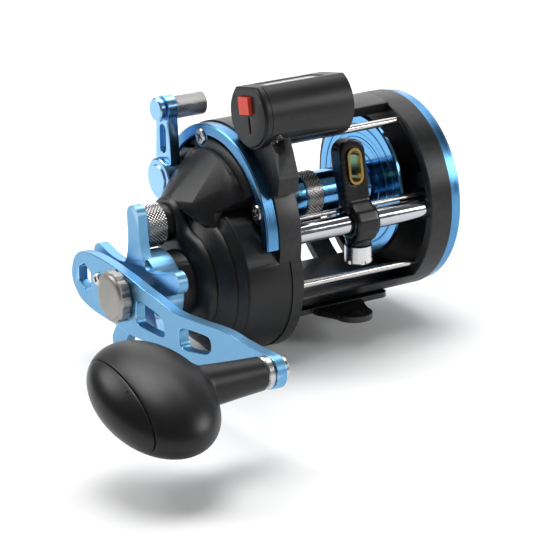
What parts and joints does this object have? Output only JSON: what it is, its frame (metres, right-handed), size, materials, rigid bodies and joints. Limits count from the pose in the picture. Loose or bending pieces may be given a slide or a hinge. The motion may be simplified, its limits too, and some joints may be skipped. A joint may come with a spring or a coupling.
{
  "type": "trolling reel",
  "caption": "Level-wind overhead trolling reel with a line counter, star drag, clutch lever and a single power handle with a large egg-shaped knob.",
  "frame": {"origin": "middle of the underside of the reel foot", "axes": "+X along the spool axis away from the handle, -Y towards the line guide and rod tip, +Z away from the rod"},
  "size_m": [0.201, 0.1713, 0.103],
  "materials": {
    "graphite": "satin black moulded graphite composite",
    "foot_black": "satin black coated steel plate",
    "panel_black": "smooth semi-gloss black",
    "blue_trim": "sky-blue anodised, polished edges",
    "blue_machined": "sky-blue anodised, satin machined",
    "steel": "plain machined steel",
    "chrome": "polished",
    "knurled_steel": "knurled steel",
    "nut_steel": "grey bead-blasted steel",
    "brass": "cut brass",
    "gold": "polished gold-coloured ring",
    "friction": "dry woven drag washer",
    "bushing": "moulded bushing",
    "idler_plastic": "moulded gear",
    "rubber": "dense black knob rubber",
    "knob_cap": "satin black cap",
    "window": "clear moulded window",
    "wheel_white": "white number wheel",
    "button_red": "red-orange button"
  },
  "bodies": {
    "reel": {"frame": "graphite", "foot": "foot_black", "foot_screws": "steel", "gear_side_plate": "graphite", "left_trim_ring": "blue_trim", "plate_screws": "steel", "bridge_plate": "steel", "right_side_plate": "graphite", "right_side_cover": "graphite", "right_trim_ring": "blue_trim", "spool_bearings": "steel", "yoke_posts": "steel", "anti_reverse_bearing": "steel", "level_wind_tube": "chrome", "idler_post": "steel", "front_rods": "steel", "counter_housing": "panel_black", "counter_end_cap": "panel_black", "counter_window": "window", "counter_shaft": "steel", "counter_screw": "steel"},
    "spool": {"spool": "blue_machined", "spool_shaft": "steel", "line_grip_band": "knurled_steel", "click_gear": "brass"},
    "cast_cap": {"cast_control_cap": "knurled_steel", "tension_shims": "brass"},
    "lever": {"clutch_lever": "blue_machined", "lever_cap_screw": "steel", "lever_knob": "knurled_steel", "clutch_cam": "steel"},
    "yoke": {"pinion_yoke": "brass"},
    "pinion": {"pinion": "brass"},
    "crank": {"drive_shaft": "steel", "anti_reverse_ratchet": "steel", "drag_washers": "friction", "drag_spring": "steel", "handle_arm": "blue_machined", "handle_nut": "nut_steel", "handle_lock_screw": "steel", "knob_shaft": "steel"},
    "main_gear": {"main_gear": "brass"},
    "dog": {"anti_reverse_dog": "steel"},
    "star": {"star_drag": "blue_machined"},
    "knob": {"handle_knob": "rubber", "knob_end_cap": "knob_cap", "knob_bushings": "bushing"},
    "worm": {"level_wind_worm": "steel", "worm_gear": "brass"},
    "idler": {"level_wind_idler": "idler_plastic"},
    "guide": {"line_guide": "panel_black", "line_guide_eyelet": "gold", "guide_pawl": "steel", "pawl_cap": "knurled_steel"},
    "wheel_hundreds": {"counter_wheel_hundreds": "wheel_white"},
    "wheel_tens": {"counter_wheel_tens": "wheel_white"},
    "wheel_ones": {"counter_wheel_ones": "wheel_white"},
    "reset": {"reset_button": "button_red"},
    "clicker": {"clicker_button": "steel", "clicker_tongue": "steel"}
  },
  "joints": [
    {"name": "crank_turn", "type": "hinge", "parent": "reel", "child": "crank", "pos_m": [-0.064, -0.0091, 0.0216], "axis": [1, 0, 0], "continuous": true},
    {"name": "main_gear_spin", "type": "hinge", "parent": "reel", "child": "main_gear", "pos_m": [-0.0527, -0.0091, 0.0216], "axis": [1, 0, 0], "continuous": true},
    {"name": "spool_spin", "type": "hinge", "parent": "reel", "child": "spool", "pos_m": [-0.004, 0, 0.0424], "axis": [1, 0, 0], "continuous": true},
    {"name": "pinion_slide", "type": "slide", "parent": "reel", "child": "yoke", "axis": [1, 0, 0], "range_m": [-0.0033, 0]},
    {"name": "pinion_spin", "type": "hinge", "parent": "yoke", "child": "pinion", "pos_m": [-0.049, 0, 0.0424], "axis": [1, 0, 0], "continuous": true},
    {"name": "clutch_throw", "type": "hinge", "parent": "reel", "child": "lever", "pos_m": [-0.05, 0.0216, 0.0518], "axis": [1, 0, 0], "range_deg": [-55, 0]},
    {"name": "worm_spin", "type": "hinge", "parent": "reel", "child": "worm", "pos_m": [-0.004, -0.03182, 0.039], "axis": [1, 0, 0], "continuous": true},
    {"name": "idler_spin", "type": "hinge", "parent": "reel", "child": "idler", "pos_m": [-0.0362, -0.02164, 0.03213], "axis": [1, 0, 0], "continuous": true},
    {"name": "guide_travel", "type": "slide", "parent": "reel", "child": "guide", "axis": [1, 0, 0], "range_m": [-0.0193, 0.018]},
    {"name": "star_turn", "type": "hinge", "parent": "crank", "child": "star", "pos_m": [-0.077, -0.0091, 0.0216], "axis": [1, 0, 0], "range_deg": [-150, 150]},
    {"name": "knob_spin", "type": "hinge", "parent": "crank", "child": "knob", "pos_m": [-0.104, -0.1071, 0.0215], "axis": [1, 0, 0], "continuous": true},
    {"name": "cast_cap_turn", "type": "hinge", "parent": "reel", "child": "cast_cap", "pos_m": [-0.072, 0, 0.0424], "axis": [1, 0, 0], "range_deg": [-170, 170]},
    {"name": "dog_swing", "type": "hinge", "parent": "reel", "child": "dog", "pos_m": [-0.0478, 0.0029, 0.0076], "axis": [1, 0, 0], "range_deg": [0, 10]},
    {"name": "wheel_ones_spin", "type": "hinge", "parent": "reel", "child": "wheel_ones", "pos_m": [-0.0165, -0.022, 0.0814], "axis": [1, 0, 0], "continuous": true},
    {"name": "wheel_tens_spin", "type": "hinge", "parent": "reel", "child": "wheel_tens", "pos_m": [-0.024, -0.022, 0.0814], "axis": [1, 0, 0], "continuous": true},
    {"name": "wheel_hundreds_spin", "type": "hinge", "parent": "reel", "child": "wheel_hundreds", "pos_m": [-0.0317, -0.022, 0.0814], "axis": [1, 0, 0], "continuous": true},
    {"name": "reset_press", "type": "slide", "parent": "reel", "child": "reset", "axis": [1, 0, 0], "range_m": [0, 0.0014], "stiffness_N_per_m": 400},
    {"name": "clicker_slide", "type": "slide", "parent": "reel", "child": "clicker", "axis": [0, 0, -1], "range_m": [0, 0.003]}
  ],
  "couplings": [
    {"joint": "main_gear_spin", "follows": "crank_turn", "ratio": 1},
    {"joint": "pinion_spin", "follows": "crank_turn", "ratio": -5.1},
    {"joint": "spool_spin", "follows": "crank_turn", "ratio": -5.1},
    {"joint": "idler_spin", "follows": "crank_turn", "ratio": -0.91304},
    {"joint": "worm_spin", "follows": "crank_turn", "ratio": 2.1},
    {"joint": "wheel_ones_spin", "follows": "crank_turn", "ratio": -0.85},
    {"joint": "wheel_tens_spin", "follows": "crank_turn", "ratio": -0.085},
    {"joint": "wheel_hundreds_spin", "follows": "crank_turn", "ratio": -0.0085},
    {"joint": "pinion_slide", "follows": "clutch_throw", "m_per_rad": 0.00333}
  ]
}
